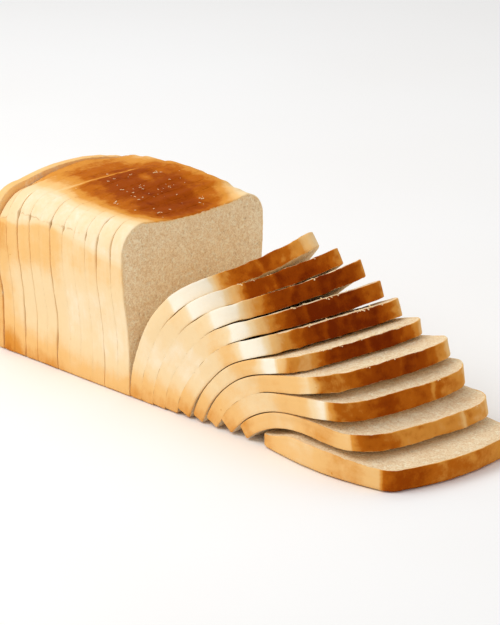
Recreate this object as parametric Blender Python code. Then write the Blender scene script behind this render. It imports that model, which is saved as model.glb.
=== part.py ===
"""Sliced tin loaf: a heel and eleven slices still standing as a block, and ten more slices
fanned out of its cut end, each one bent over the slice that lies under it."""
import bpy
from math import cos, pi, radians, sin, sqrt

# Whole loaf (metres, degrees). X runs along the loaf towards the fan, Y across it, Z up.
BASE_HALF = 0.0570        # half the width at the base
FLARE = 0.0058            # how much wider each side is below the shoulders
HEIGHT = 0.1178           # base to the top of the near shoulder
FOOT_RADIUS = 0.0018      # edges along the base
CUT_GAP = 0.0004          # width left by the knife between two standing slices
DRIFT = 0.0150            # the block turns this much sideways per metre of its length

# Standing slices: thickness, radius of the near shoulder, rise of the middle, rise of the far
# shoulder over the near one, and how far the whole top lies below HEIGHT.
# The heel at the far end of the block is mostly crust, rounded behind.
HEEL = (0.0125, 0.027, 0.0054, 0.0022, 0.0015)
HEEL_ROUND = 0.0085
HEEL_GAP = 0.0012         # it stands a little apart
# Slices from the heel to the cut face; the first one has sagged beside the heel.
BLOCK = (
    (0.0112, 0.030, 0.0070, 0.0044, 0.0053),
    (0.0118, 0.026, 0.0026, 0.0052, 0.0004),
    (0.0129, 0.021, 0.0022, 0.0068, 0.0000),
    (0.0108, 0.020, 0.0020, 0.0070, 0.0000),
    (0.0108, 0.020, 0.0016, 0.0086, 0.0000),
    (0.0135, 0.021, 0.0010, 0.0084, 0.0000),
    (0.0114, 0.021, 0.0004, 0.0082, 0.0000),
    (0.0118, 0.020, -0.0004, 0.0070, 0.0000),
    (0.0118, 0.020, -0.0014, 0.0062, 0.0000),
    (0.0139, 0.020, -0.0026, 0.0036, 0.0000),
    (0.0118, 0.020, -0.0036, 0.0025, 0.0000),
)
FAR_RADIUS = 0.0150

# Fanned slices from the block outwards: lower front corner of the foot along X, thickness,
# height, lean at foot, quarter, half, three quarters and tip, how much higher the far side
# of the tip is, and how deep the tip hangs between its two corners.
FAN = (
    (0.0119, 0.0113, 0.1100, (90.0, 69.0, 52.0, 43.2, 39.5), 0.0185, 0.0000),
    (0.0240, 0.0113, 0.1135, (90.4, 64.0, 48.6, 39.2, 30.9), 0.0092, 0.0004),
    (0.0360, 0.0117, 0.1185, (87.6, 58.6, 43.9, 34.1, 24.3), 0.0078, 0.0006),
    (0.0480, 0.0113, 0.1180, (85.8, 52.7, 41.1, 28.9, 20.7), 0.0032, 0.0008),
    (0.0603, 0.0117, 0.1150, (72.4, 49.8, 36.3, 23.3, 20.6), 0.0016, 0.0010),
    (0.0735, 0.0099, 0.1165, (71.2, 46.0, 29.5, 16.8, 12.3), 0.0014, 0.0012),
    (0.0875, 0.0113, 0.1245, (66.5, 38.1, 20.1, 11.3, 18.0), 0.0006, 0.0038),
    (0.1020, 0.0125, 0.1185, (54.3, 29.4, 13.0, 7.9, 8.9), 0.0000, 0.0050),
    (0.1165, 0.0105, 0.1200, (41.9, 18.4, 5.9, -1.9, 18.0), -0.0005, 0.0056),
)
FAN_NEAR = (0.020, 0.020, 0.019, 0.018, 0.016, 0.012, 0.0085, 0.0085, 0.0085)
FAN_FAR = (0.014, 0.014, 0.014, 0.013, 0.013, 0.014, 0.016, 0.019, 0.022)
FAN_CROWN = (0.0005, 0.0008, 0.0010, 0.0010, 0.0012, 0.0022, 0.0028, 0.0032, 0.0040)
FIRST_RISE = -0.0060      # the first one's far shoulder is lower than its near one

# Last slice: it lies flat on its own, thicker and broader, its underside is end crust.
LAST_FOOT = 0.1312
LAST_HEIGHT = 0.1225
LAST_THIN, LAST_THICK, LAST_TIP = 0.0085, 0.0162, 0.0142
LAST_FLARE = 0.0008
LAST_BULGE = 0.0085
LAST_ROUND = 0.0032

ROWS = 11                 # rows between the foot and the shoulder corners
SHOULDER_ROWS = 5
COLUMNS = 8
STEPS = 120               # steps in which a bent slice is followed from foot to tip


def smooth(x):
    x = min(max(x, 0.0), 1.0)
    return x * x * (3.0 - 2.0 * x)


class Section:
    """Outline of one slice, as rows across it from the foot to the top."""

    def __init__(self, height, near, far, crown, rise=0.0, rows=ROWS,
                 flare=FLARE, bulge=0.0, foot=FOOT_RADIUS):
        self.height, self.near, self.far, self.crown = height, near, far, crown
        self.rise, self.rows, self.flare, self.bulge, self.foot = rise, rows, flare, bulge, foot

    def half(self, s, radius, bulge, inset):
        part = s / self.height
        w = BASE_HALF + self.flare * smooth((part - 0.25) / 0.5) - inset
        w += bulge * sin(pi * min(part, 1.0))
        r = max(radius - inset, 0.001)
        over = s - (self.height - inset - r)
        if over > 0.0:
            w -= r - sqrt(max(r * r - over * over, 0.0))
        f = max(self.foot - inset, 0.0006)
        under = inset + f - s
        if under > 0.0:
            w -= f - sqrt(max(f * f - under * under, 0.0))
        return w

    def levels(self, inset=0.0):
        f = max(self.foot - inset, 0.0006)
        r = max(self.near, self.far) - inset
        low, high = inset + f, self.height - inset - r
        rise = [inset, inset + 0.3 * f]
        rise += [low + (high - low) * k / self.rows for k in range(self.rows)]
        return rise + [high + r * sin(0.5 * pi * k / SHOULDER_ROWS)
                       for k in range(SHOULDER_ROWS + 1)]

    def grid(self, inset=0.0, columns=COLUMNS):
        """Rows of (y, s) pairs."""
        out = []
        for s in self.levels(inset):
            left = -self.half(s, self.near, self.bulge, inset)
            right = self.half(s, self.far, 0.3 * self.bulge, inset)
            row = []
            for k in range(columns + 1):
                u = k / columns
                top = self.crown * (1.0 - (2.0 * u - 1.0) ** 2) + self.rise * u
                row.append((left + (right - left) * u, s + top * smooth(s / self.height * 2 - 1)))
            out.append(row)
        return out


def rim(rows, columns):
    """Grid positions once round the edge, seen with Y to the right and the foot down."""
    path = [(0, j) for j in range(columns)] + [(i, columns) for i in range(rows)]
    return path + [(rows, j) for j in range(columns, 0, -1)] + [(i, 0) for i in range(rows, 0, -1)]


def slice_mesh(name, layers, colour, flat):
    """Close a body over a stack of grids; the first and last are its two faces."""
    rows, columns = len(layers[0]) - 1, len(layers[0][0]) - 1
    path = rim(rows, columns)
    points, index, faces = [], {}, []

    def at(layer, i, j):
        key = (layer, i, j)
        if key not in index:
            index[key] = len(points)
            points.append(layers[layer][i][j])
        return index[key]

    last = len(layers) - 1
    if flat:
        faces.append([at(0, i, j) for i, j in reversed(path)])
        faces.append([at(last, i, j) for i, j in path])
    else:
        for i in range(rows):
            for j in range(columns):
                a, b, c, d = (i, j), (i, j + 1), (i + 1, j + 1), (i + 1, j)
                for tri in ((a, b, c), (a, c, d)):
                    faces.append([at(0, *p) for p in reversed(tri)])
                    faces.append([at(last, *p) for p in tri])
    for n in range(last):
        for p, q in zip(path, path[1:] + path[:1]):
            a, b, c, d = at(n, *p), at(n, *q), at(n + 1, *q), at(n + 1, *p)
            faces += [[a, b, c], [a, c, d]]
    mesh = bpy.data.meshes.new(name)
    mesh.from_pydata(points, [], faces)
    mesh.validate()
    body = bpy.data.objects.new(name, mesh)
    bpy.context.scene.collection.objects.link(body)
    skin = bpy.data.materials.new(name)
    skin.use_nodes = True
    shader = skin.node_tree.nodes["Principled BSDF"]
    shader.inputs["Base Color"].default_value = (*colour, 1.0)
    shader.inputs["Roughness"].default_value = 0.75
    shader.inputs["Metallic"].default_value = 0.0
    mesh.materials.append(skin)
    return body


def lean(angles, part):
    """Lean of a slice at a part of its height, run smoothly through its five angles."""
    n = len(angles) - 1
    x = min(max(part, 0.0), 1.0) * n
    i = min(int(x), n - 1)
    f = x - i
    p1, p2 = angles[i], angles[i + 1]
    p0 = angles[i - 1] if i > 0 else 2 * p1 - p2
    p3 = angles[i + 2] if i + 2 <= n else 2 * p2 - p1
    v = 2 * p1 + (p2 - p0) * f + (2 * p0 - 5 * p1 + 4 * p2 - p3) * f * f
    return radians(0.5 * (v + (3 * p1 - p0 - 3 * p2 + p3) * f ** 3))


def spine(foot, thick, angles, height):
    """Middle line of a bent slice: x, z and lean at even steps from foot to tip."""
    a = lean(angles, 0.0)
    x, z = foot - 0.5 * thick * sin(a), 0.5 * thick * cos(a)
    line, step = [(x, z, a)], height / STEPS
    for k in range(STEPS):
        m = lean(angles, (k + 0.5) / STEPS)
        x, z = x + step * cos(m), z + step * sin(m)
        line.append((x, z, lean(angles, (k + 1) / STEPS)))
    return line


def on_spine(line, height, s):
    """Point and lean at a distance s from the foot, carried straight on past the tip."""
    t = s / height * STEPS
    k = min(int(t), STEPS - 1)
    (x0, z0, a0), (x1, z1, a1) = line[k], line[k + 1]
    f = t - k
    return x0 + (x1 - x0) * f, z0 + (z1 - z0) * f, a0 + (a1 - a0) * min(f, 1.0)


def block_slice(name, x, size, colour, heel=False):
    """A standing slice whose front face is at x; the heel is rounded off behind."""
    thick, near, crown, rise, below = size
    section = Section(HEIGHT - below, near, FAR_RADIUS, crown, rise, rows=4)
    back = HEEL_ROUND if heel else 0.0
    stack = [(x, 0.0), (x - thick + back, 0.0)]
    if heel:
        stack += [(x - thick + back * (1 - sin(a)), back * (1 - cos(a)))
                  for a in (pi / 8, pi / 4, 3 * pi / 8, pi / 2)]
    layers = [[[(px, y - DRIFT * px, s) for y, s in row] for row in section.grid(inset)]
              for px, inset in reversed(stack)]
    return slice_mesh(name, layers, colour, True)


def fan_slice(name, k, colour):
    foot, thick, height, angles, lift, cup = FAN[k]
    section = Section(height, FAN_NEAR[k], FAN_FAR[k], FAN_CROWN[k], 0.0 if k else FIRST_RISE)
    line = spine(foot, thick, angles, height)
    layers = []
    for side in (0.5, -0.5):
        grid = []
        for row in section.grid():
            put = []
            for y, s in row:
                x, z, a = on_spine(line, height, s)
                across = min(max(y / (BASE_HALF + FLARE), -1.0), 1.0)
                up = lift * smooth(s / height) * (0.5 + 0.5 * across) ** 2
                up -= cup * smooth((s / height - 0.7) / 0.3) * (1.0 - across ** 4)
                put.append((x - side * thick * sin(a), y, z + side * thick * cos(a) + up))
            grid.append(put)
        layers.append(grid)
    return slice_mesh(name, layers, colour, False)


def last_slice(name, colour):
    """Thickness grows from the foot; the lower edge is rounded end crust."""
    section = Section(LAST_HEIGHT, 0.010, 0.024, 0.0055, rows=9, flare=LAST_FLARE,
                      bulge=LAST_BULGE, foot=0.0055)
    stack = [(None, 0.0), (LAST_ROUND, 0.0)]
    stack += [(LAST_ROUND * (1 - sin(a)), LAST_ROUND * (1 - cos(a))) for a in (pi / 4, pi / 2)]
    layers = []
    for z, inset in stack:
        grid = []
        for row in section.grid(inset):
            put = []
            for y, s in row:
                part = s / LAST_HEIGHT
                top = LAST_THIN + (LAST_THICK - LAST_THIN) * smooth(part / 0.32)
                top += (LAST_TIP - LAST_THICK) * smooth((part - 0.5) / 0.4)
                put.append((LAST_FOOT + s, y, top if z is None else z))
            grid.append(put)
        layers.append(grid)
    return slice_mesh(name, layers, colour, False)


def build():
    for old in list(bpy.data.objects):
        bpy.data.objects.remove(old, do_unlink=True)
    crust, crumb = (0.62, 0.34, 0.12), (0.80, 0.62, 0.36)
    parts, x = [], 0.0
    for n in range(len(BLOCK) - 1, -1, -1):
        parts.append(block_slice("block_slice_%02d" % (n + 1), x, BLOCK[n], crumb))
        x -= BLOCK[n][0] + CUT_GAP
    parts.append(block_slice("heel", x - HEEL_GAP, HEEL, crust, True))
    for k in range(len(FAN)):
        parts.append(fan_slice("fan_slice_%02d" % (k + 1), k, crumb))
    parts.append(last_slice("fan_slice_%02d" % (len(FAN) + 1), crust))
    # The origin is under the middle of the whole, on the surface it stands on.
    corners = [v.co for p in parts for v in p.data.vertices]
    mid_x = 0.5 * (min(c.x for c in corners) + max(c.x for c in corners))
    mid_y = 0.5 * (min(c.y for c in corners) + max(c.y for c in corners))
    low = min(c.z for c in corners)
    for p in parts:
        for v in p.data.vertices:
            v.co.x -= mid_x
            v.co.y -= mid_y
            v.co.z -= low
        p.data.update()


build()
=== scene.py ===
import bmesh
import bpy
import numpy as np
from math import cos, pi, radians, sin
from mathutils import Matrix, Vector


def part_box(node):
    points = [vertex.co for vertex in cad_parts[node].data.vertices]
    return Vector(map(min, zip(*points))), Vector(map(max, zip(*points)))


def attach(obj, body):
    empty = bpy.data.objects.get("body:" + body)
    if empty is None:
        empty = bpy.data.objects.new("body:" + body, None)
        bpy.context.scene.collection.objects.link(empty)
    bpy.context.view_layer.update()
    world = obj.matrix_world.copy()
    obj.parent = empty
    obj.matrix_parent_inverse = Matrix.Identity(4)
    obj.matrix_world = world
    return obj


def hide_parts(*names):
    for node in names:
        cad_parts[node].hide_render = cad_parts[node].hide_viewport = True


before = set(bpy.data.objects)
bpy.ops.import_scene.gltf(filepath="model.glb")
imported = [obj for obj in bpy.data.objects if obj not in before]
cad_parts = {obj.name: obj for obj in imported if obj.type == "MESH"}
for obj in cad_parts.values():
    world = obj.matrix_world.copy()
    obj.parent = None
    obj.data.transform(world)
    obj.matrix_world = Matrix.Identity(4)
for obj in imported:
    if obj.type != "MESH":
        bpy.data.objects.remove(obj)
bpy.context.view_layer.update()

# Bread: crust and crumb
# White wheat bread baked in a lidless tin. The crumb is pale and full of small gas cells; the
# crust is its dried skin, creamy above the tin's edge (partly a painted highlight on the lit shoulder),
# golden on the sides and brown on top.


class Shade:
    """One value in a material; sums and products of it add Math nodes."""

    def __init__(self, socket):
        self.socket = socket

    def math(self, kind, *terms):
        node = self.socket.id_data.nodes.new("ShaderNodeMath")
        node.operation = kind
        for end, term in zip(node.inputs, terms):
            feed(end, term)
        return Shade(node.outputs[0])

    def __add__(self, other):
        return self.math("ADD", self, other)

    def __sub__(self, other):
        return self.math("SUBTRACT", self, other)

    def __rsub__(self, other):
        return self.math("SUBTRACT", other, self)

    def __mul__(self, other):
        return self.math("MULTIPLY", self, other)

    __radd__, __rmul__ = __add__, __mul__


def feed(end, term):
    """Give a socket its value, or link it."""
    if isinstance(term, Shade):
        end.id_data.links.new(term.socket, end)
    elif isinstance(term, tuple) and len(term) == 3 and end.type == "RGBA":
        end.default_value = (*term, 1.0)
    else:
        end.default_value = term


def colour(red, green, blue):
    """Display colour, 0 to 255, as linear light."""
    return tuple(((c / 255 + 0.055) / 1.055) ** 2.4 if c > 10 else c / 3294.6
                 for c in (red, green, blue))


class Finish:
    """One material, and the ways to add nodes to it."""

    def __init__(self, name):
        self.material = bpy.data.materials.new(name)
        self.material.use_nodes = True
        self.nodes = self.material.node_tree.nodes
        self.skin = self.nodes["Principled BSDF"]

    def node(self, kind, settings, sockets, out=0):
        made = self.nodes.new("ShaderNode" + kind)
        for key, value in settings.items():
            if key == "stops":
                ramp = made.color_ramp
                ramp.interpolation = "EASE"
                while len(ramp.elements) < len(value):
                    ramp.elements.new(1.0)
                for stop, (place, tint) in zip(ramp.elements, value):
                    stop.position, stop.color = place, (*tint, 1.0)
            else:
                setattr(made, key, value)
        for key, value in sockets.items():
            feed(made.inputs[key], value)
        return Shade(made.outputs[out])

    def mark(self, name, vector=False):
        """Value or place that the mesh stores on its points; outputs 2 and 1 of the node."""
        return self.node("Attribute", {"attribute_name": name}, {}, 1 if vector else 2)

    def stretch(self, place, by):
        return self.node("VectorMath", {"operation": "MULTIPLY"}, {0: place, 1: by})

    def cloud(self, place, scale, detail=2.0, rough=0.5, twist=0.0):
        """Noise centred on 0, about -0.5 to 0.5."""
        return self.node("TexNoise", {}, {"Vector": place, "Scale": scale, "Detail": detail,
                                          "Roughness": rough, "Distortion": twist}) - 0.5

    def rise(self, value, low, high):
        """Smooth step from 0 at low to 1 at high."""
        return self.node("MapRange", {"interpolation_type": "SMOOTHSTEP"},
                         {0: value, 1: low, 2: high, 3: 0.0, 4: 1.0})

    def blend(self, part, one, two):
        return self.node("Mix", {"data_type": "RGBA"}, {0: part, 6: one, 7: two}, 2)

    def set(self, **values):
        for key, value in values.items():
            feed(self.skin.inputs[key.replace("_", " ")], value)


SKIN_FROM, SKIN_TO = 0.35, 1.25          # millimetres in, where the crust passes into crumb
bread = Finish("bread")
spot = bread.mark("loaf", True)          # where this bit was in the uncut loaf, metres
depth = bread.mark("depth")              # millimetres in from the crust, on a cut
baked = bread.mark("baked")              # 0 cream, 0.35 golden, 1 dark brown
crumb_part = bread.rise(depth + 1.5 * bread.cloud(spot, 420.0, 3.0), SKIN_FROM, SKIN_TO)

# Crust: the browning shifts in soft patches, with faint upright streaks and small specks. Where
# the tin's rim was, a broken pinkish crease runs along the near side.
patch = bread.cloud(spot, 60.0, 3.0, 0.55)
mottle = bread.cloud(spot, 170.0, 2.0)
streak = bread.cloud(bread.stretch(spot, (330.0, 330.0, 26.0)), 1.0, 2.0)
speck = bread.cloud(spot, 700.0, 2.0)
along, across, upward = (bread.node("SeparateXYZ", {}, {0: spot}, n) for n in (0, 1, 2))
back = along * -1.0

RIM_HEIGHT, RIM_DIP, DIP_FROM, DIP_TO = 0.1040, 0.0085, 0.112, 0.132
CREASE_THIN, CREASE_WIDE = 0.0001, 0.0009
rim_line = (RIM_HEIGHT - bread.rise(back, DIP_FROM, DIP_TO) * RIM_DIP
            + patch * 0.006 + mottle * 0.004)
off_rim = bread.node("Math", {"operation": "ABSOLUTE"}, {0: upward - rim_line})
crease = ((1.0 - bread.rise(off_rim, CREASE_THIN, CREASE_WIDE))
          * bread.rise(mottle + patch * 0.5, -0.06, 0.16)
          * bread.rise(back, 0.030, 0.045) * (1.0 - bread.rise(across, -0.05, -0.04)))
top_part = bread.rise(baked, 0.45, 0.70)
pit = bread.rise(bread.cloud(spot, 300.0, 1.0), 0.27, 0.33)
browning = (baked + patch * (0.16 + 0.16 * top_part) + mottle * (0.05 + 0.13 * top_part)
            + streak * (0.06 - 0.03 * top_part) + speck * (0.03 + 0.06 * top_part)
            + pit * 0.10 + crease * 0.05)
# the palest stops stand for crust less baked above the tin's rim and also hold a painted highlight where
# the light falls on the shoulders
crust_colour = bread.node("ValToRGB", {"stops": (
    (0.00, colour(253, 243, 222)),
    (0.19, colour(246, 217, 169)),
    (0.36, colour(243, 194, 125)),
    (0.50, colour(222, 149, 62)),
    (0.62, colour(188, 101, 20)),
    (0.78, colour(155, 69, 7)),
    (0.97, colour(120, 42, 4)))}, {0: browning})
crust_colour = bread.blend(crease * 0.5, crust_colour, colour(205, 172, 134))

# Crumb: pores between thin bright walls that show as short curled threads, on a tan ground; the pores
# and holes carry painted shade.
cells = bread.cloud(spot, 900.0, 2.0, 0.6)
walls = bread.cloud(spot, 420.0, 2.0, 0.7, 1.2)
SWAY = 0.0022                            # metres that the walls stray from straight
swayed = bread.node("VectorMath", {"operation": "ADD"}, {0: spot, 1: bread.stretch(
    bread.node("TexNoise", {}, {"Vector": spot, "Scale": 500.0}, 1), (SWAY, SWAY, SWAY))})
wall_off = bread.node("TexVoronoi", {"feature": "DISTANCE_TO_EDGE"},
                      {"Vector": swayed, "Scale": 290.0})
curls = bread.cloud(spot, 210.0, 2.0, 0.6)
thread = (1.0 - bread.rise(wall_off, 0.03, 0.13)) * bread.rise(curls, 0.02, 0.09)
# painted shade: the pore and hole masks mark where the crumb is painted darker for the shade inside its
# cells
shaded_pore = bread.rise(wall_off, 0.22, 0.45) * bread.rise(cells * -1.0, -0.02, 0.15)
shaded_holes = bread.rise(bread.cloud(spot, 200.0, 1.0), 0.26, 0.33)
tone = bread.rise(walls * 1.0 + cells * 0.9 + patch * 0.4, -0.30, 0.36)
near_crust = 1.0 - bread.rise(depth, 0.5, 4.0)
crumb_colour = bread.blend(tone, colour(228, 195, 151), colour(255, 238, 204))
# the pore and hole tints are painted shade, darker for the shade that falls inside the cells
for share, tint in ((shaded_pore * 0.45, colour(200, 160, 112)), (thread * 0.9, colour(255, 240, 206)),
                    (shaded_holes * 0.45, colour(160, 126, 84)), (near_crust * 0.25, colour(236, 204, 150))):
    crumb_colour = bread.blend(share, crumb_colour, tint)

bread.set(Base_Color=bread.blend(crumb_part, crust_colour, crumb_colour))
bread.set(Specular_IOR_Level=0.01)
bread.set(Roughness=bread.rise(crumb_part - 0.45 * top_part, -0.6, 0.8) * 0.35 + 0.52)
crumb_relief = (walls * 0.6 + cells * 0.4 + thread * 0.35 - shaded_pore * 0.5 - shaded_holes * 0.9) * crumb_part
crust_relief = (bread.cloud(spot, 260.0, 3.0) * 0.35 + speck * 0.12
                - crease * 0.25 - pit * 0.2) * (1.0 - crumb_part)
bread.set(Normal=bread.node("Bump", {}, {"Strength": 0.9, "Distance": 0.0006,
                                        "Height": crumb_relief + crust_relief}))

# Standing slices
# Eleven slices cut 11 to 14 mm thick and left standing against each other, as the slicer's
# blades leave them: flat faces, the loaf's own outline round them, edges softened by the cut.
# Half the width at the foot, the tin's flare, the height and the roundness of the foot.
BASE_HALF, FLARE, HEIGHT, FOOT = 0.0570, 0.0058, 0.1178, 0.0018
WIDEST = BASE_HALF + FLARE
# Gap at a cut, how far the block drifts sideways for each metre, the far shoulder's radius.
CUT_GAP, DRIFT, FAR_RADIUS = 0.0004, 0.0150, 0.0150
# Softened edge of any cut and of the standing ones, and the spacing of points on the crust.
CUT_EDGE, STANDING_EDGE, PITCH = 0.0005, 0.0006, 0.0012
LEAST_SHOULDER, LEAST_FOOT, SHOULDER_ROWS = 0.001, 0.0006, 15
# Thickness, near shoulder radius, rise of the middle and of the far shoulder, whole top lower by.
BLOCK = (
    (0.0112, 0.030, 0.0070, 0.0044, 0.0053),
    (0.0118, 0.026, 0.0026, 0.0052, 0.0004),
    (0.0129, 0.021, 0.0022, 0.0068, 0.0000),
    (0.0108, 0.020, 0.0020, 0.0070, 0.0000),
    (0.0108, 0.020, 0.0016, 0.0086, 0.0000),
    (0.0135, 0.021, 0.0010, 0.0084, 0.0000),
    (0.0114, 0.021, 0.0004, 0.0082, 0.0000),
    (0.0118, 0.020, -0.0004, 0.0070, 0.0000),
    (0.0118, 0.020, -0.0014, 0.0062, 0.0000),
    (0.0139, 0.020, -0.0026, 0.0036, 0.0000),
    (0.0118, 0.020, -0.0036, 0.0025, 0.0000),
)
STANDING = len(BLOCK)
# Where the cut face stands along X, and the middle of the loaf along Y.
CUT_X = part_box("block_slice_11")[1][0]
MID_Y = 0.5 * (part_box("fan_slice_01")[0][1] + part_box("fan_slice_01")[1][1])
# Unevenness: how far a surface strays, the size of its lumps, and which random set they are.
SKIN_LUMPS = ((0.00016, 0.011, 1), (0.00010, 0.0035, 2))
TOP_LUMPS = ((0.00030, 0.006, 3),)
BAKED_END_LUMPS = ((0.0003, 0.013, 5), (0.00012, 0.004, 6))
CRUMB_LUMPS = ((0.00014, 0.0060, 7), (0.00012, 0.0026, 8))
BAKED_END_DENT, CRUMB_DENT, PORE_DENT, DENT_FROM_EDGE = 0.0004, 0.00016, 0.0005, 0.0025
# Browning of the underside, of a baked end inside the tin, of its rounded edge and of crumb.
UNDER_BAKED, END_BAKED, END_EDGE_BAKED, CRUMB_BAKED = 0.44, 0.50, 0.42, 0.3
# A baked end and its edge are paler above the tin's rim: from which height, over how much, how.
END_RIM, END_FADE, END_EDGE_PALER = 0.084, 0.012, 0.09
FACE_RIM, FACE_FADE, FACE_PALER = 0.086, 0.014, 0.15
# How much of the crust is chipped off at the knife's edge, and just beside it; how deep the
# chips are on the sides, how much more on top, their size, and how much paler the skin is.
EDGE_WORN = (0.85, 0.55)
CHIP_DEEP, CHIP_ON_TOP, CHIP_SIZE, WORN_PALER = 0.00022, 0.00020, 0.0019, 0.13
# Slopes in degrees from which a surface counts as top, and below which as underside.
TOP_FROM, TOP_SPAN, UNDER_FROM = 55.0, 30.0, -60.0


def ease(x):
    """Smooth step from 0 at 0 to 1 at 1."""
    x = np.clip(x, 0.0, 1.0)
    return x * x * (3.0 - 2.0 * x)


def lumps(points, size, seed):
    """Soft random unevenness of a given size, -1 to 1, at an n by 3 array of points."""
    q = np.asarray(points) / size
    low = np.floor(q).astype(np.int64)
    f = q - low
    f = f * f * (3.0 - 2.0 * f)
    total = 0.0
    for a in (0, 1):
        for b in (0, 1):
            for c in (0, 1):
                h = ((low[:, 0] + a) * 73856093 ^ (low[:, 1] + b) * 19349663
                     ^ (low[:, 2] + c) * 83492791 ^ (seed * 2654435761)) & 0xffffffff
                h = ((h ^ (h >> 15)) * 2246822519) & 0xffffffff
                h = ((h ^ (h >> 13)) * 3266489917) & 0xffffffff
                w = (np.where(a, f[:, 0], 1 - f[:, 0]) * np.where(b, f[:, 1], 1 - f[:, 1])
                     * np.where(c, f[:, 2], 1 - f[:, 2]))
                total = total + w * (((h ^ (h >> 16)) & 0xffff) / 32767.5 - 1.0)
    return total


def uneven(points, terms, start=0.0):
    """Sum of several lumps, each given as how far, how large and which set."""
    total = start
    for far, size, seed in terms:
        total = total + far * lumps(points, size, seed)
    return total


def tin_half(part, flare=FLARE):
    """Half of the tin's width at a part of the loaf's height."""
    return BASE_HALF + flare * ease((part - 0.25) / 0.5)


class Outline:
    """The loaf's cross-section, as rows across one slice from its foot to its top."""

    def __init__(self, height, near, far, crown, rise=0.0, flare=FLARE, bulge=0.0, foot=FOOT,
                 rows=44, columns=90, crowd=0.6):
        self.height, self.near, self.far, self.crown, self.rise = height, near, far, crown, rise
        self.flare, self.bulge, self.foot = flare, bulge, foot
        self.rows, self.columns, self.crowd = rows, columns, crowd

    def half(self, s, radius, bulge, inset):
        """Half width at height s, rounded at the shoulder and at the foot."""
        part = s / self.height
        w = tin_half(part, self.flare) - inset
        w = w + bulge * np.sin(pi * np.minimum(part, 1.0))
        r = max(radius - inset, LEAST_SHOULDER)
        over = np.maximum(s - (self.height - inset - r), 0.0)
        w = w - (r - np.sqrt(np.maximum(r * r - over * over, 0.0)))
        f = max(self.foot - inset, LEAST_FOOT)
        under = np.maximum(inset + f - s, 0.0)
        return w - (f - np.sqrt(np.maximum(f * f - under * under, 0.0)))

    def grid(self, inset):
        """Across and up for every row and column, drawn in by the inset."""
        f = max(self.foot - inset, LEAST_FOOT)
        r = max(self.near, self.far) - inset
        low, high = inset + f, self.height - inset - r
        t = np.arange(self.rows) / self.rows
        t = (1.0 - self.crowd) * t + self.crowd * (1.0 - (1.0 - t) ** 2)
        s = np.concatenate([inset + f * (1.0 - np.cos(np.array([0.0, 0.5, 1.0]))),
                            low + (high - low) * t,
                            high + r * np.sin(np.linspace(0.0, 0.5 * pi, SHOULDER_ROWS))])[:, None]
        left = -self.half(s, self.near, self.bulge, inset)
        right = self.half(s, self.far, 0.3 * self.bulge, inset)
        u = np.linspace(0.0, 1.0, self.columns + 1)[None, :]
        top = self.crown * (1.0 - (2.0 * u - 1.0) ** 2) + self.rise * u
        return left + (right - left) * u, s + top * ease(s / self.height * 2.0 - 1.0)


def ring_places(rows, columns):
    """Row and column of each grid point round a slice, from its near foot."""
    ring = ([(0, j) for j in range(columns - 1)] + [(i, columns - 1) for i in range(rows - 1)]
            + [(rows - 1, j) for j in range(columns - 1, 0, -1)]
            + [(i, 0) for i in range(rows - 1, 0, -1)])
    return np.array(ring).T


def face_dent(loaf, baked_face):
    """How deep a face is dented: a baked end softly, crumb by its cells and pores."""
    if baked_face:
        return uneven(loaf, BAKED_END_LUMPS, BAKED_END_DENT)
    pores = PORE_DENT * ease((lumps(loaf, 0.0040, 9) - 0.45) / 0.3)
    return uneven(loaf, CRUMB_LUMPS, CRUMB_DENT) + pores


def note(mesh, name, values):
    """Store a value or a place on every point of a mesh, for the bread's material."""
    kind, field = ("FLOAT_VECTOR", "vector") if np.ndim(values) == 2 else ("FLOAT", "value")
    marks = mesh.attributes.new(name, kind, "POINT").data
    marks.foreach_set(field, np.asarray(values).astype(np.float32).ravel())


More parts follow.
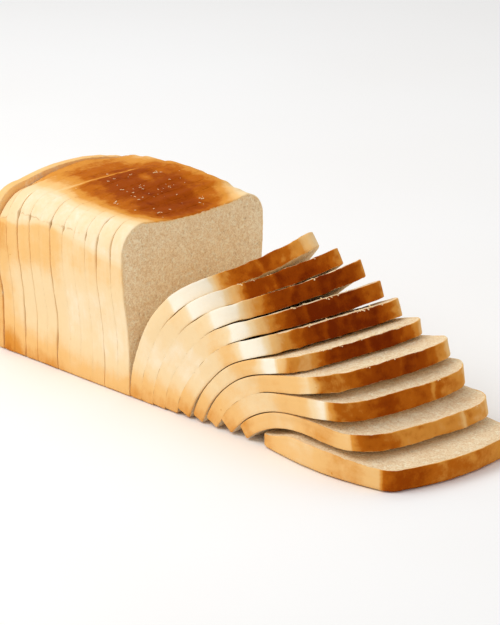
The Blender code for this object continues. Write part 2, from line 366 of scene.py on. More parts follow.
def slice_piece(name, node, stack, place, crust, to_loaf=lambda through: through,
                faces=(True, True), crusty=(False, False), closed=None):
    """Close a slice over a stack of outlines from its first face to its last.

    stack: (place through the slice, inset, outline); place: where its points lie in the scene;
    crust: browning at places on the loaf; to_loaf: how far along the uncut loaf a place through
    the slice was; faces: which cut faces get their full grid; crusty: which of them are baked;
    closed: how tightly each side meets the next slice, 0 to 1, and how far it swells to do so.
    """
    grids = [outline.grid(inset) for _, inset, outline in stack]
    rows, columns = grids[0][0].shape
    ring_i, ring_j = ring_places(rows, columns)
    count, end = len(ring_i), len(stack) - 1
    middle, span = 0.5 * (stack[0][0] + stack[-1][0]), stack[-1][0] - stack[0][0]
    flat, depths, bakes, quads, rings, number = [], [], [], [], [], 0
    for n, ((through, inset, outline), (y, s)) in enumerate(zip(stack, grids)):
        ry, rs = y[ring_i, ring_j], s[ring_i, ring_j]
        ty, ts = np.roll(ry, -1) - np.roll(ry, 1), np.roll(rs, -1) - np.roll(rs, 1)
        size = np.hypot(ty, ts) + 1e-9
        out_y, out_s = ts / size, -ty / size
        part = rs / outline.height
        tilt = np.degrees(np.arctan2(out_s, np.abs(out_y)))
        onto = ease((tilt - TOP_FROM) / TOP_SPAN)
        bake = np.where(tilt < UNDER_FROM, UNDER_BAKED, crust(to_loaf(through), ry, rs))
        loaf = np.stack([np.full(count, to_loaf(through)), ry, rs], 1)
        shift = uneven(loaf, SKIN_LUMPS)
        shift = shift + onto * uneven(loaf * (0.6, 1.0, 1.0), TOP_LUMPS)
        edge = min(n, end - n)
        raw_edge = edge < 2 and not crusty[0 if n < 3 else 1]
        if raw_edge:
            shift = shift + (CHIP_DEEP + CHIP_ON_TOP * onto) * lumps(loaf, CHIP_SIZE, 4)
        ring_through, shut = np.full(count, through), np.zeros(count)
        if closed:
            hand = 2.0 * (through - middle) / span
            shut, swell = closed(hand > 0.0, onto, part, ry)
            # a closed cut has no softened edge either
            ring_through = ring_through + hand * swell * shut
            shift = shift + inset * shut * 0.97
        ry, rs = ry + out_y * shift, np.maximum(rs + out_s * shift, 0.0)
        rings.append(number)
        number += count
        flat.append(np.stack([ring_through, ry, rs], 1))
        # along the knife's edge the thin crust is chipped, and crumb shows
        worn = EDGE_WORN[edge] if raw_edge else 0.0
        chips = ease(0.45 + 0.9 * lumps(loaf, 0.005, 12))
        depths.append(worn * np.clip(1.0 - shut, 0.0, 1.0) * chips)
        # and its brown skin is paler there
        bake = bake - WORN_PALER * worn * onto * (1.0 - np.clip(shut, 0.0, 1.0)) * (bake > 0.5)
        baked_face = (n == 0 and crusty[0]) or (n == end and crusty[1])
        # a baked end is golden inside the tin and paler above its rim
        if baked_face:
            bake = np.maximum(bake, END_EDGE_BAKED - END_EDGE_PALER * ease((rs - END_RIM) / END_FADE))
        bakes.append(bake)
        if (n == 0 and faces[0]) or (n == end and faces[1]):
            inside_y, inside_s = y[1:-1, 1:-1].ravel(), s[1:-1, 1:-1].ravel()
            away = np.full(len(inside_y), 9.0)
            for k in range(0, count, 2):
                away = np.minimum(away, np.hypot(inside_y - ry[k], inside_s - rs[k]))
            loaf = np.stack([np.full(len(away), to_loaf(through)), inside_y, inside_s], 1)
            dent = np.maximum(face_dent(loaf, baked_face), 0.0) * ease(away / DENT_FROM_EDGE)
            inward = dent if n == 0 else -dent
            flat.append(np.stack([through + inward, inside_y, inside_s], 1))
            if baked_face:
                depths.append(np.zeros(len(away)))
                bakes.append(END_BAKED - FACE_PALER * ease((inside_s - FACE_RIM) / FACE_FADE))
            else:
                depths.append(1000.0 * away + 0.25)
                bakes.append(np.full(len(away), CRUMB_BAKED))
            table = np.empty((rows, columns), int)
            table[ring_i, ring_j] = rings[-1] + np.arange(count)
            table[1:-1, 1:-1] = number + np.arange(len(away)).reshape(rows - 2, columns - 2)
            number += len(away)
            a, b, c, d = table[:-1, :-1], table[:-1, 1:], table[1:, 1:], table[1:, :-1]
            order = (a, d, c, b) if n == 0 else (a, b, c, d)
            quads += np.stack([q.ravel() for q in order], 1).tolist()
        elif n in (0, end):
            loop = list(range(rings[-1], rings[-1] + count))
            quads.append(loop[::-1] if n == 0 else loop)
    step = np.arange(count)
    after = np.roll(step, -1)
    for low, high in zip(rings[:-1], rings[1:]):
        quads += np.stack([low + step, low + after, high + after, high + step], 1).tolist()
    flat = np.concatenate(flat)
    mesh = bpy.data.meshes.new(name)
    mesh.from_pydata(place(*flat.T).tolist(), [], quads)
    note(mesh, "loaf", np.column_stack([to_loaf(flat[:, 0]), flat[:, 1:]]))
    note(mesh, "depth", np.concatenate(depths))
    note(mesh, "baked", np.concatenate(bakes))
    mesh.validate()
    mesh.shade_smooth()
    mesh.set_sharp_from_angle(angle=radians(50.0))
    mesh.materials.append(bread.material)
    piece = bpy.data.objects.new(name, mesh)
    bpy.context.scene.collection.objects.link(piece)
    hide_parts(node)
    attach(piece, "root")
    return piece


def rounded(low, high, outline_at, edge=CUT_EDGE):
    """Stack of a cut slice: softened edge, evenly spaced crust, softened edge."""
    soft = [(edge * (1.0 - cos(a)), edge * (1.0 - sin(a))) for a in (0.0, pi / 4, pi / 2)]
    middle = np.linspace(low + edge, high - edge, max(int((high - low) / PITCH), 3))[1:-1]
    places = ([(low + d, e) for d, e in soft] + [(m, 0.0) for m in middle]
              + [(high - d, e) for d, e in reversed(soft)])
    return [(t, e, outline_at((t - low) / (high - low))) for t, e in places]


def swirl(u, v=0.0):
    """A soft band or spot, 1 in its middle and gone at 2 or so."""
    return np.exp(-u ** 2 - v ** 2)


# Browning of the top's brown field at metres back from the cut face, and the share of it that
# shows at metres from the near side and from the far side.
FIELD = ((0.0, 0.010, 0.020, 0.084, 0.092, 0.110, 0.130),
         (0.67, 0.78, 0.83, 0.79, 0.62, 0.61, 0.53))
FROM_NEAR = ((0.012, 0.019, 0.025, 0.031, 0.037, 0.043, 0.049),
             (0.0, 0.32, 0.52, 0.67, 0.79, 0.91, 1.0))
FROM_FAR = ((0.011, 0.017, 0.023, 0.029, 0.035, 0.041, 0.053),
            (0.0, 0.20, 0.45, 0.60, 0.70, 0.80, 1.0))


def standing_crust(x, y, s):
    """Browning of the standing loaf at x from the cut face, y across and s up."""
    back, part, near, far = -x, s / HEIGHT, y + WIDEST, WIDEST - y
    rim = 0.755 + 0.10 * ease(back / 0.09) - 0.070 * ease((back - 0.075) / 0.05)
    flank = (0.13 + 0.24 * (1.0 - ease(part / 0.26)) + 0.13 * ease((part - 0.48) / 0.22)
             + 0.08 * ease((back - 0.055) / 0.02) + 0.10 * ease((back - 0.112) / 0.02))
    # pale shoulder: crust less baked above the tin's rim, with a painted highlight where the light falls
    # on it
    pale = 0.125 + 0.065 * ease((back - 0.105) / 0.03)
    side = flank + (pale - flank) * ease((part - rim) / 0.05)
    # the brown field ends at a crack in the skin that crosses the slices slantwise
    slant = back + 0.167 * np.minimum(y, 0.023) - 0.6 * np.maximum(y - 0.023, 0.0)
    near_rise = np.interp(near - 0.006 * ease((back - 0.07) / 0.02), *FROM_NEAR)
    far_rise = np.interp(far + 0.014 * ease(back / 0.04), *FROM_FAR)
    top = (np.interp(slant, *FIELD) - pale) * np.minimum(near_rise, far_rise)
    # paler: the crack itself, and two swirls of the dough's skin; darker: a streak behind it
    crack = near_rise * (1.0 - ease((y - 0.018) / 0.010))
    top = top - 0.22 * swirl((slant - 0.0896) / 0.0011) * crack
    top = top + 0.13 * swirl((slant - 0.0950) / 0.0026, (y - 0.010) / 0.016)
    top = top - 0.18 * swirl((back - 0.068) / 0.012, (y - 0.0165 + 0.22 * (0.0746 - back)) / 0.0038)
    top = top - 0.10 * swirl((back - 0.078) / 0.008, (y + 0.018) / 0.006)
    return side + top


def standing_place(t, y, s):
    """Where the block stands; its cuts waver a little, the same for the slices on both sides."""
    stray = lumps(np.stack([t * 0.6, y, s], 1), 0.017, 30)
    stray = stray + 0.5 * lumps(np.stack([t, y, s], 1), 0.008, 31)
    x = t + 0.0007 * stray * ease(-t / 0.008)
    return np.stack([CUT_X + x, MID_Y + y - DRIFT * t, s], 1)


def standing_outlines(n):
    """Outlines through slice n, whose form runs on halfway into each neighbour's.

    The first slice runs all the way to the second's, and the third and the fourth meet in a step.
    """
    here, before, after = (np.array(BLOCK[min(max(m, 0), STANDING - 1)][1:])
                           for m in (n - 1, n - 2, n))
    ahead, behind = {1: 4.0, 3: 0.0}.get(n, 2.0), {2: 0.0, 4: 0.0}.get(n, 2.0)
    cut_face = n == STANDING

    def outline_at(part):
        near, crown, rise, below = (here + (before - here) * max(0.25 - part, 0.0) * behind
                                    + (after - here) * max(part - 0.75, 0.0) * ahead)
        return Outline(HEIGHT - below, near, FAR_RADIUS, crown, rise, rows=110 if cut_face else 40,
                       columns=150 if cut_face else 90, crowd=0.0 if cut_face else 0.3)
    return outline_at


# How open each cut shows, from the heel to the cut face: at the shoulder, down the side, and
# how deep it is nicked where it crosses the tin's rim. Two cuts show on the dark top as well.
CUTS = ((1, 1, 0), (0.5, 0.3, 0.2), (2.0, 2.0, 1.0), (0.9, 1.0, 0.9), (0, 0, 0), (1.7, 2.0, 1.0),
        (0.3, 0, 0.9), (0, 0, 0.3), (0.3, 0, 0.9), (2.6, 1.2, 0.4), (1.9, 0.2, 0), (1, 1, 0))
SHUT_ON_TOP = {1: 0.4, 3: 0.85}
FAR_SIDE_GAPE, NICK_DEPTH, NICK_HEIGHT, NICK_HALF = 0.5, 2.6, 0.1035, 0.0018
OPEN_BY, CLOSE_BY = 0.00045, 0.00016


def standing_cuts(n):
    """How slice n meets its neighbours: mostly closed to a hair, more so on the dark top."""
    def closed(upper, onto, part, y):
        cut = n if upper else n - 1
        if cut in (0, STANDING):
            return 0.0 * part, 0.0
        shoulder, side, nick = CUTS[cut]
        gape = side + (shoulder - side) * ease((part - 0.66) / 0.12)
        at = np.stack([0 * part, y, part * HEIGHT], 1)
        gape = gape * (0.75 + 0.45 * lumps(at, 0.011, 20 + cut))
        gape = np.where(y > 0.0, FAR_SIDE_GAPE, gape) * (1.0 - onto * SHUT_ON_TOP.get(cut, 1.0))
        nick = NICK_DEPTH * nick * swirl((part * HEIGHT - NICK_HEIGHT) / NICK_HALF) * (y < -0.02)
        shut = 1.0 - np.clip(gape, 0.0, 3.0) - nick
        return shut, np.where(shut < 0.0, OPEN_BY, CLOSE_BY)
    return closed


front, standing_slices = 0.0, []
for n in range(STANDING, 0, -1):
    thick = BLOCK[n - 1][0]
    standing_slices.append(slice_piece(
        "standing_slice_%02d" % n, "block_slice_%02d" % n,
        rounded(front - thick, front, standing_outlines(n), STANDING_EDGE),
        standing_place, standing_crust, faces=(False, n == STANDING), closed=standing_cuts(n)))
    front -= thick + CUT_GAP

# Heel
# The end of the loaf: one thin slice with crust all over its back, rounded into the sides
# by the tin, standing a little apart from the first cut slice.
HEEL_THICK, HEEL_ROUND, HEEL_GAP = 0.0125, 0.0085, 0.0012
HEEL_SHOULDER, HEEL_CROWN, HEEL_RISE, HEEL_LOWER = 0.027, 0.0054, 0.0022, 0.0015
HEEL_GOLDEN, HEEL_PALER = 0.41, 0.08
front -= HEEL_GAP
tin_end = front - HEEL_THICK
outline = Outline(HEIGHT - HEEL_LOWER, HEEL_SHOULDER, FAR_RADIUS, HEEL_CROWN, HEEL_RISE,
                  rows=60, columns=90, crowd=0.2)
stack = [(tin_end + HEEL_ROUND * (1.0 - sin(a)), HEEL_ROUND * (1.0 - cos(a)), outline)
         for a in np.linspace(pi / 2, 0.0, 9)]
stack += rounded(tin_end + HEEL_ROUND - CUT_EDGE, front, lambda part: outline)[3:]
slice_piece("heel_end", "heel", stack,
            lambda t, y, s: np.stack([CUT_X + t, MID_Y + y - DRIFT * t, s], 1),
            lambda x, y, s: HEEL_GOLDEN - HEEL_PALER * ease((s - END_RIM) / END_FADE) + 0 * y,
            faces=(True, False), crusty=(True, False))

# Fanned slices
# Nine slices drawn out of the cut end. Each stands on its foot and bends over the one under
# it, the first ones in one curve, the later ones sagging flat at the tip.
# Foot along X, thickness, height, five leans, far lift, hang of the tip.
FAN = (
    (0.0119, 0.0113, 0.1100, (90.0, 69.0, 52.0, 43.2, 39.5), 0.0185, 0.0000),
    (0.0240, 0.0113, 0.1135, (90.4, 64.0, 48.6, 39.2, 30.9), 0.0092, 0.0004),
    (0.0360, 0.0117, 0.1185, (87.6, 58.6, 43.9, 34.1, 24.3), 0.0078, 0.0006),
    (0.0480, 0.0113, 0.1180, (85.8, 52.7, 41.1, 28.9, 20.7), 0.0032, 0.0008),
    (0.0603, 0.0117, 0.1150, (72.4, 49.8, 36.3, 23.3, 20.6), 0.0016, 0.0010),
    (0.0735, 0.0099, 0.1165, (71.2, 46.0, 29.5, 16.8, 12.3), 0.0014, 0.0012),
    (0.0875, 0.0113, 0.1245, (66.5, 38.1, 20.1, 11.3, 18.0), 0.0006, 0.0038),
    (0.1020, 0.0125, 0.1185, (54.3, 29.4, 13.0, 7.9, 8.9), 0.0000, 0.0050),
    (0.1165, 0.0105, 0.1200, (41.9, 18.4, 5.9, -1.9, 18.0), -0.0005, 0.0056),
)
FANNED = len(FAN)
FAN_NEAR = (0.020, 0.020, 0.019, 0.018, 0.016, 0.012, 0.0085, 0.0085, 0.0085)
FAN_FAR = (0.014, 0.014, 0.014, 0.013, 0.013, 0.014, 0.016, 0.019, 0.022)
FAN_CROWN = (0.0005, 0.0008, 0.0010, 0.0010, 0.0012, 0.0022, 0.0028, 0.0032, 0.0040)
FIRST_RISE, FAN_EDGE = -0.0060, 0.0007
# Side browning low down, its gain above the middle, where the pale shoulder (partly painted highlight)
# starts, its browning.
FAN_SIDE = ((0.13, 0.08, 0.82, 0.02), (0.13, 0.09, 0.81, 0.02), (0.13, 0.10, 0.80, 0.02),
            (0.12, 0.15, 0.80, 0.02), (0.16, 0.14, 0.73, 0.02), (0.22, 0.12, 0.74, 0.02),
            (0.26, 0.11, 0.84, 0.20), (0.24, 0.13, 0.78, 0.08), (0.30, 0.12, 0.80, 0.33))
# Browning across each top: pairs of millimetres from the near side and browning. The cream at the near
# shoulder is partly a painted highlight.
FAN_TOP = (
    ((20, .02), (24, .20), (28, .40), (36, .53), (48, .70), (72, .75), (90, .62), (104, .48),
     (114, .30), (126, .20)),
    ((14, .02), (20, .25), (30, .50), (37, .74), (48, .80), (88, .84), (100, .74), (112, .62),
     (122, .45)),
    ((8, .02), (15, .30), (25, .50), (33, .68), (41, .86), (92, .90), (108, .80), (116, .62),
     (123, .48)),
    ((3, .02), (9, .28), (21, .52), (33, .70), (41, .92), (94, .95), (101, .74), (113, .64),
     (123, .48)),
    ((2, .02), (7, .33), (17, .50), (29, .68), (37, .86), (96, .93), (101, .74), (111, .58),
     (122, .35)),
    ((0, .30), (4, .50), (12, .42), (18, .42), (28, .62), (38, .88), (88, .92), (100, .74),
     (110, .60), (121, .30)),
    ((0, .30), (4, .55), (9, .60), (29, .63), (37, .72), (50, .84), (90, .80), (100, .64),
     (112, .50), (122, .25)),
    ((0, .42), (4, .56), (13, .61), (29, .67), (41, .74), (52, .72), (62, .67), (80, .62),
     (114, .50), (123, .25)),
    ((0, .46), (4, .57), (12, .67), (22, .63), (40, .53), (70, .51), (112, .46), (122, .20)),
    ((0, .50), (4, .66), (12, .74), (26, .68), (44, .57), (80, .56), (116, .52), (126, .30)),
)
# Where the pale seam of the dough crosses each top.
SEAM = (0.0030, -0.0065, -0.0100, -0.0115, -0.0105, 0.0050, 0.0070, 0.0220, 0.0260)
# Up to which part of its height each slice's side is shut against the next, and where it opens.
SHUT = ((0.58, 0.70), (0.60, 0.72), (0.72, 0.80), (0.76, 0.84), (0.0, 0.01), (0.0, 0.01),
        (0.46, 0.56), (0.0, 0.01))
BEND_STEPS, GAP_STEPS, GAP_LINE = 120, 600, -0.060
# Widest gap that clings, the span over which it lets go, the hair left, the most that closes.
CLING_GAP, CLING_SPAN, HAIR, MOST_CLOSED = 0.0045, 0.002, 0.00003, 0.0022


def lean(angles, part):
    """Lean of a slice at parts of its height, run smoothly through its five angles."""
    x = np.clip(part, 0.0, 1.0) * 4.0
    i = np.minimum(x.astype(int), 3)
    f = x - i
    a = np.array([2 * angles[0] - angles[1], *angles, 2 * angles[4] - angles[3]])
    p0, p1, p2, p3 = a[i], a[i + 1], a[i + 2], a[i + 3]
    v = 2 * p1 + (p2 - p0) * f + (2 * p0 - 5 * p1 + 4 * p2 - p3) * f * f
    return np.radians(0.5 * (v + (3 * p1 - p0 - 3 * p2 + p3) * f ** 3))


def bent(k, meets=(None, None)):
    """Where a point through, across and up slice k lies once the slice is bent.

    meets: which parts of the next slices' heights its upper and lower face touch, if known;
    there its width runs over into theirs, so that the sides make one surface.
    """
    foot, thick, height, angles, lift, cup = FAN[k]
    n = BEND_STEPS
    a = lean(angles, np.arange(n + 1) / n)
    m = lean(angles, (np.arange(n) + 0.5) / n)
    x = foot - 0.5 * thick * sin(a[0]) + np.concatenate([[0.0], np.cumsum(np.cos(m))]) * height / n
    z = 0.5 * thick * cos(a[0]) + np.concatenate([[0.0], np.cumsum(np.sin(m))]) * height / n

    def put(through, y, s):
        t = s / height * n
        i = np.clip(t.astype(int), 0, n - 1)
        f = t - i
        px, pz = x[i] + (x[i + 1] - x[i]) * f, z[i] + (z[i + 1] - z[i]) * f
        pa = a[i] + (a[i + 1] - a[i]) * np.minimum(f, 1.0)
        across = np.clip(y / WIDEST, -1.0, 1.0)
        part = shared = np.clip(s / height, 0.0, 1.0)
        for face, hand in zip(meets, (2.0, -2.0)):
            if face is not None:
                other = np.interp(part, np.linspace(0.0, 1.0, len(face)), face)
                shared = shared + 0.5 * (other - part) * np.clip(hand * through / thick, 0.0, 1.0)
        y = y * (tin_half(shared) / tin_half(part))
        up = lift * ease(s / height) * (0.5 + 0.5 * across) ** 2
        up = up - cup * ease((s / height - 0.7) / 0.3) * (1.0 - across ** 4)
        # through runs from the lower face to the upper one, which draw in at the worn foot and
        # wander a little at the tip
        at = np.stack([0.0 * y + 0.03 * k, y, 0.4 * s], 1)
        stray = lumps(at, 0.009, 16) + 0.5 * lumps(at, 0.0035, 17)
        through = through * (1.0 + 0.075 * stray * ease((s / height - 0.82) / 0.12))
        through = through * (1.0 - 0.22 * (1.0 - np.minimum(s / 0.0035, 1.0)) ** 2)
        return np.stack([CUT_X + px - through * np.sin(pa), MID_Y + y,
                         np.maximum(pz + through * np.cos(pa) + up, 0.0)], 1)
    return put


def fan_crust(k, height, radius):
    """Browning of fanned slice k; the last slice takes its side from the one before it."""
    low, gain, pale_from, pale = FAN_SIDE[min(k, FANNED - 1)]
    away, level = np.array(FAN_TOP[k]).T

    def crust(x, y, s):
        part = s / height
        side = low + (0.44 - low) * (1.0 - ease(part / 0.3)) + gain * ease((part - 0.42) / 0.22)
        waver = 0.03 * lumps(np.stack([x + 0 * s, 0.3 * y, 0.3 * s], 1), 0.006, 14)
        # toward the top the side turns to the pale shoulder: less baked crust with a painted highlight
        side = side + (pale - side) * ease((part - pale_from + waver + 0.05) / 0.16)
        near = y + WIDEST + 0.0010 * lumps(np.stack([x + 0 * y, y, 0 * y], 1), 0.007, 13)
        top = np.interp(1000.0 * near, away, level)
        if k < FANNED:
            seam = SEAM[k] + 0.0030 * lumps(np.array([[x, 0.0, 0.0]]), 0.008, 11)[0]
            top = top - 0.12 * swirl((y - seam) / 0.0020) + 0.08 * swirl((y - seam - 0.005) / 0.004)
            blotch = lumps(np.stack([2.0 * x + 0 * y, y, 0 * y], 1), 0.006, 15)
            top = top + 0.05 * (top > 0.45) * blotch
        return side + (top - side) * ease((s - height + radius + 0.001) / 0.004)
    return crust


def gap_between(k):
    """Gap from slice k to slice k + 1 along their near side: its width up the lower face of k
    and up the upper face of k + 1, and the parts of each other's heights that they touch."""
    count = GAP_STEPS + 1
    lower, upper = (bent(m)(np.full(count, hand * 0.5 * FAN[m][1]), np.full(count, GAP_LINE),
                            np.linspace(0.0, FAN[m][2], count)) for m, hand in ((k, -1.0), (k + 1, 1.0)))
    apart = np.hypot(lower[:, None, 0] - upper[None, :, 0], lower[:, None, 2] - upper[None, :, 2])
    return (apart.min(1), apart.min(0),
            apart.argmin(1) / float(GAP_STEPS), apart.argmin(0) / float(GAP_STEPS))


def fan_cuts(k):
    """How slice k meets its neighbours: the lower parts of some slices still cling together."""
    def closed(upper, onto, part, y):
        m = k - 1 if upper else k
        if not 0 <= m < FANNED - 1:
            return 0.0 * part, 0.0
        gap = np.interp(np.clip(part, 0.0, 1.0) * GAP_STEPS, np.arange(GAP_STEPS + 1),
                        gaps[m][1 if upper else 0])
        until, opens = SHUT[m]
        shut = 1.0 - ease((part - until) / (opens - until))
        shut = shut * ease((CLING_GAP - gap) / CLING_SPAN) * (y < 0.0)
        return shut, 0.5 * np.clip(gap - HAIR, 0.0, MOST_CLOSED)
    return closed


reach = 0.0006
gaps = [gap_between(k) for k in range(FANNED - 1)]
for k in range(FANNED):
    thick, height = FAN[k][1:3]
    outline = Outline(height, FAN_NEAR[k], FAN_FAR[k], FAN_CROWN[k], 0.0 if k else FIRST_RISE,
                      rows=52, columns=100)
    meets = (gaps[k - 1][3] if k > 0 else None, gaps[k][2] if k < FANNED - 1 else None)
    slice_piece("fanned_slice_%02d" % (k + 1), "fan_slice_%02d" % (k + 1),
                rounded(-0.5 * thick, 0.5 * thick, lambda part: outline, FAN_EDGE),
                bent(k, meets), fan_crust(k, height, FAN_NEAR[k]),
                lambda t: reach + 0.5 * thick - t, closed=fan_cuts(k))
    reach += thick + CUT_GAP

# Last slice
# The other end of the loaf, lying flat with its baked end down: thicker, a little broader,
# its lower edge rounded by the tin, its cut face up.
LAST_FOOT, LAST_HEIGHT, LAST_NEAR, LAST_FAR, LAST_CROWN = 0.1312, 0.1225, 0.010, 0.024, 0.0055
LAST_THIN, LAST_THICK, LAST_TIP, LAST_CORNER = 0.0085, 0.0162, 0.0142, 0.0055
LAST_FLARE, LAST_BULGE, LAST_ROUND, LAST_SPAN = 0.0008, 0.0085, 0.0032, 0.016


def lying(through, y, s):
    """through: 0 on the underside, 1 on the cut face above, whose height varies."""
    part = s / LAST_HEIGHT
    top = LAST_THIN + (LAST_THICK - LAST_THIN) * ease(part / 0.32)
    top = top + (LAST_TIP - LAST_THICK) * ease((part - 0.5) / 0.4)
    return np.stack([CUT_X + LAST_FOOT + s, MID_Y + y, through * top], 1)


outline = Outline(LAST_HEIGHT, LAST_NEAR, LAST_FAR, LAST_CROWN, flare=LAST_FLARE,
                  bulge=LAST_BULGE, foot=LAST_CORNER, rows=80, columns=110, crowd=0.3)
low = LAST_ROUND / LAST_THICK
stack = [(low * (1.0 - sin(a)), LAST_ROUND * (1.0 - cos(a)), outline)
         for a in np.linspace(pi / 2, 0.0, 6)]
stack += [(m, 0.0, outline) for m in np.linspace(low, 0.97, 11)[1:]]
stack += [(0.99, 0.00015, outline), (1.0, CUT_EDGE, outline)]
slice_piece("last_slice", "fan_slice_10", stack, lying, fan_crust(FANNED, LAST_HEIGHT, LAST_NEAR),
            lambda t: reach + LAST_SPAN * (1.0 - t), crusty=(True, False))

# Loose crumbs
# Crumbs torn off by the slicer's blades: pale flakes and curls under 2 mm long that stick to
# the brown top, and along the upper edges of the fanned slices.
# Ones that show singly: millimetres from the cut face and from the middle, and size.
STUCK = ((-61, -10, 1.1), (-46, -12, 1.0), (-47.5, -28, 0.9), (-48.5, -26.5, 1.1),
         (-46, -29.5, 1.0), (-43.5, -30, 0.9), (-15, -17, 1.2), (-14, -15.5, 0.9),
         (-70, 27, 1.3), (-68.5, 29, 1.0), (-72, 28.5, 0.9), (-16, 23, 1.5))
SCATTERED, SCATTER_MIDDLE, SCATTER_SPREAD = 52, (-44.0, 6.0), (27.0, 17.0)
BACK_END, FRONT_END, NEAR_END, FAR_END = -94, -6, -30, 44
MM, ABOVE_ALL = 0.001, 0.2
# How many stick to which fanned slice, counted from 0.
ON_FAN = ((1, 5), (2, 6), (3, 24), (4, 34), (5, 24), (6, 10), (7, 5), (8, 4))
FLAKE_LONG, FLAKE_WIDE, FLAKE_TALL, FLAKE_STEP = 0.00055, 0.00030, 0.00026, 0.0009
IN_CRUST, FLAKE_BAKED = -2.0, 0.16       # depth and browning that make a flake pale crust
dice = np.random.default_rng(7)
scatter = [(*place, size) for place, size in zip(
    dice.normal(SCATTER_MIDDLE, SCATTER_SPREAD, (SCATTERED, 2)), dice.uniform(0.45, 1.0, SCATTERED))]
spots = []
for x, y, size in list(STUCK) + [c for c in scatter if BACK_END < c[0] < FRONT_END
                                 and NEAR_END < c[1] < FAR_END]:
    start = Vector((CUT_X + MM * x, MID_Y + MM * y - DRIFT * MM * x, ABOVE_ALL))
    hits = [piece.ray_cast(start, (0.0, 0.0, -1.0)) for piece in standing_slices]
    tops = [hit[1] for hit in hits if hit[0]]
    if tops:
        spots.append((max(tops, key=lambda at: at.z), size, (MM * x, MM * y, HEIGHT)))
for k, many in ON_FAN:
    thick, height = FAN[k][1:3]
    for y, s, size in zip(dice.uniform(-0.036, 0.040, many), dice.uniform(0.0002, 0.0022, many),
                          dice.uniform(0.5, 1.6, many)):
        through, up = np.array([0.5 * thick]), np.array([height + FAN_CROWN[k] - s])
        spots.append((Vector(bent(k)(through, np.array([y]), up)[0]), size, (0.01 * k, y, height)))

corners = [Vector(c) for c in ((1, 0, 0), (-1, 0, 0), (0, 1, 0), (0, -1, 0), (0, 0, 1), (0, 0, -1))]
sides = [(a, b, c) for a in (0, 1) for b in (2, 3) for c in (4, 5)]
points, triangles, loaf_at = [], [], []


def flake(middle, turn, long, wide, tall, ripple, loaf):
    """Add one rounded, rippled lump: an octahedron whose sides are split in four."""
    for a, b, c in sides:
        flip = (a == 1) ^ (b == 3) ^ (c == 5)
        mids = [(corners[i] + corners[j]).normalized() for i, j in ((a, b), (b, c), (c, a))]
        for trio in ((corners[a], mids[0], mids[2]), (mids[0], corners[b], mids[1]),
                     (mids[2], mids[1], corners[c]), (mids[0], mids[1], mids[2])):
            first = len(points)
            for v in trio:
                bump = 1.0 + 0.25 * sin(7.0 * v.x + 5.0 * v.y + 9.0 * v.z + ripple)
                u, w = v.x * long * bump, v.y * wide * bump
                points.append(middle + Vector((u * cos(turn) - w * sin(turn),
                                               u * sin(turn) + w * cos(turn), v.z * tall * bump)))
                loaf_at.append(loaf)
            triangles.append((first, first + 2, first + 1) if flip else (first, first + 1, first + 2))


for at, size, loaf in spots:
    bits = 1 + int(size > 0.85) + int(size > 1.0)
    turn = dice.uniform(0.0, 2.0 * pi)
    for bit in range(bits):
        turn += dice.uniform(-0.9, 0.9)
        long = size * FLAKE_LONG * dice.uniform(0.8, 1.2)
        wide, tall = size * FLAKE_WIDE, size * FLAKE_TALL
        middle = (at + Vector((cos(turn), sin(turn), 0.0)) * (FLAKE_STEP * size * bit)
                  + Vector((0.0, 0.0, 0.35 * tall)))
        flake(middle, turn, long, wide, tall, 40.0 * at.x * 1000.0, loaf)
mesh = bpy.data.meshes.new("loose_crumbs")
mesh.from_pydata(points, [], triangles)
note(mesh, "loaf", np.array(loaf_at) + 0.3 * np.array(points))
note(mesh, "depth", np.full(len(points), IN_CRUST))
note(mesh, "baked", np.full(len(points), FLAKE_BAKED))
joined = bmesh.new()
joined.from_mesh(mesh)
bmesh.ops.remove_doubles(joined, verts=joined.verts, dist=1e-6)
joined.to_mesh(mesh)
joined.free()
mesh.materials.append(bread.material)
crumbs = bpy.data.objects.new("loose_crumbs", mesh)
bpy.context.scene.collection.objects.link(crumbs)
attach(crumbs, "root")

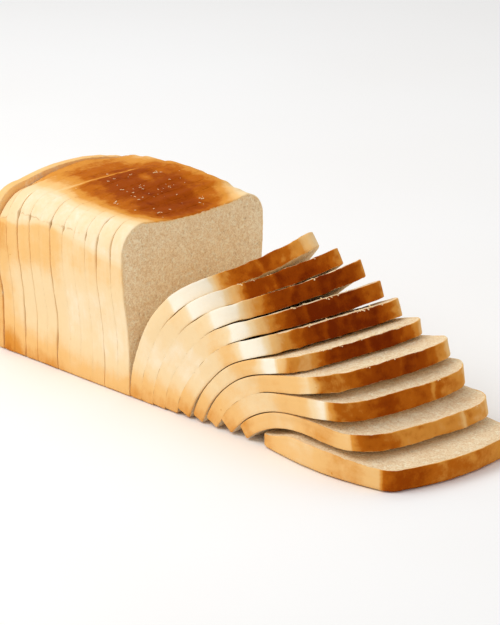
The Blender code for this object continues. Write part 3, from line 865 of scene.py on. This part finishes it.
# Studio
# A white table in soft daylight from the left and above. The camera stands 2.5 m off with a long
# lens, turned and tilted as the block's edges and the ground line show.
BEARING, DIP, FAR_OFF = radians(48.13), radians(17.39), 2.5
LENS_PX, SENSOR_MM, PICTURE_PX = 3751.0, 36.0, 500.0
TABLE_HALF, TABLE_Z = 6, -0.0004
right = Vector((cos(BEARING), sin(BEARING), 0.0))
ahead = Vector((-sin(BEARING) * cos(DIP), cos(BEARING) * cos(DIP), -sin(DIP)))
above = right.cross(ahead)
aim = Vector((CUT_X + 0.0378, MID_Y + 0.017, 0.052))
camera = bpy.data.objects.new("camera", bpy.data.cameras.new("camera"))
camera.data.sensor_fit = "HORIZONTAL"
camera.data.sensor_width = SENSOR_MM
camera.data.lens = SENSOR_MM * LENS_PX / PICTURE_PX
camera.data.clip_end = 20.0
camera.matrix_world = Matrix.Translation(aim - ahead * FAR_OFF) @ Matrix(
    (right, above, -ahead)).transposed().to_4x4()
bpy.context.scene.collection.objects.link(camera)
bpy.context.scene.camera = camera

table = Finish("white_table")
on_table = table.node("TexCoord", {}, {}, 3)     # object coordinates
haze = table.rise(table.cloud(on_table, 3.0), -0.3, 0.3)
table.set(Base_Color=table.blend(haze, colour(250, 249, 248), colour(252, 252, 252)), Roughness=0.9)
mesh = bpy.data.meshes.new("table_top")
mesh.from_pydata([(x * TABLE_HALF, y * TABLE_HALF, TABLE_Z)
                  for x, y in ((-1, -1), (1, -1), (1, 1), (-1, 1))], [], [(0, 1, 2, 3)])
mesh.materials.append(table.material)
table_top = bpy.data.objects.new("table_top", mesh)
bpy.context.scene.collection.objects.link(table_top)


def lamp(name, towards, distance, size, power, tint):
    """A soft square light that shines at the bread from one direction."""
    light = bpy.data.lights.new(name, "AREA")
    light.size, light.energy, light.color = size, power, tint
    holder = bpy.data.objects.new(name, light)
    towards = Vector(towards).normalized()
    holder.location = aim + towards * distance
    holder.rotation_euler = towards.to_track_quat("Z", "Y").to_euler()
    bpy.context.scene.collection.objects.link(holder)


lamp("window", -0.75 * right - 0.25 * ahead + Vector((0.0, 0.0, 0.9)),
     distance=1.5, size=0.9, power=10.0, tint=(1.0, 0.98, 0.95))
lamp("ceiling", -0.3 * right + 0.8 * ahead + Vector((0.0, 0.0, 1.1)),
     distance=1.5, size=0.8, power=3.0, tint=(1.0, 1.0, 1.0))

world = bpy.data.worlds.new("white_room")
world.use_nodes = True
world.node_tree.nodes["Background"].inputs["Color"].default_value = (1.0, 1.0, 1.0, 1.0)
world.node_tree.nodes["Background"].inputs["Strength"].default_value = 0.66
bpy.context.scene.world = world
bpy.context.scene.view_settings.view_transform = "Standard"
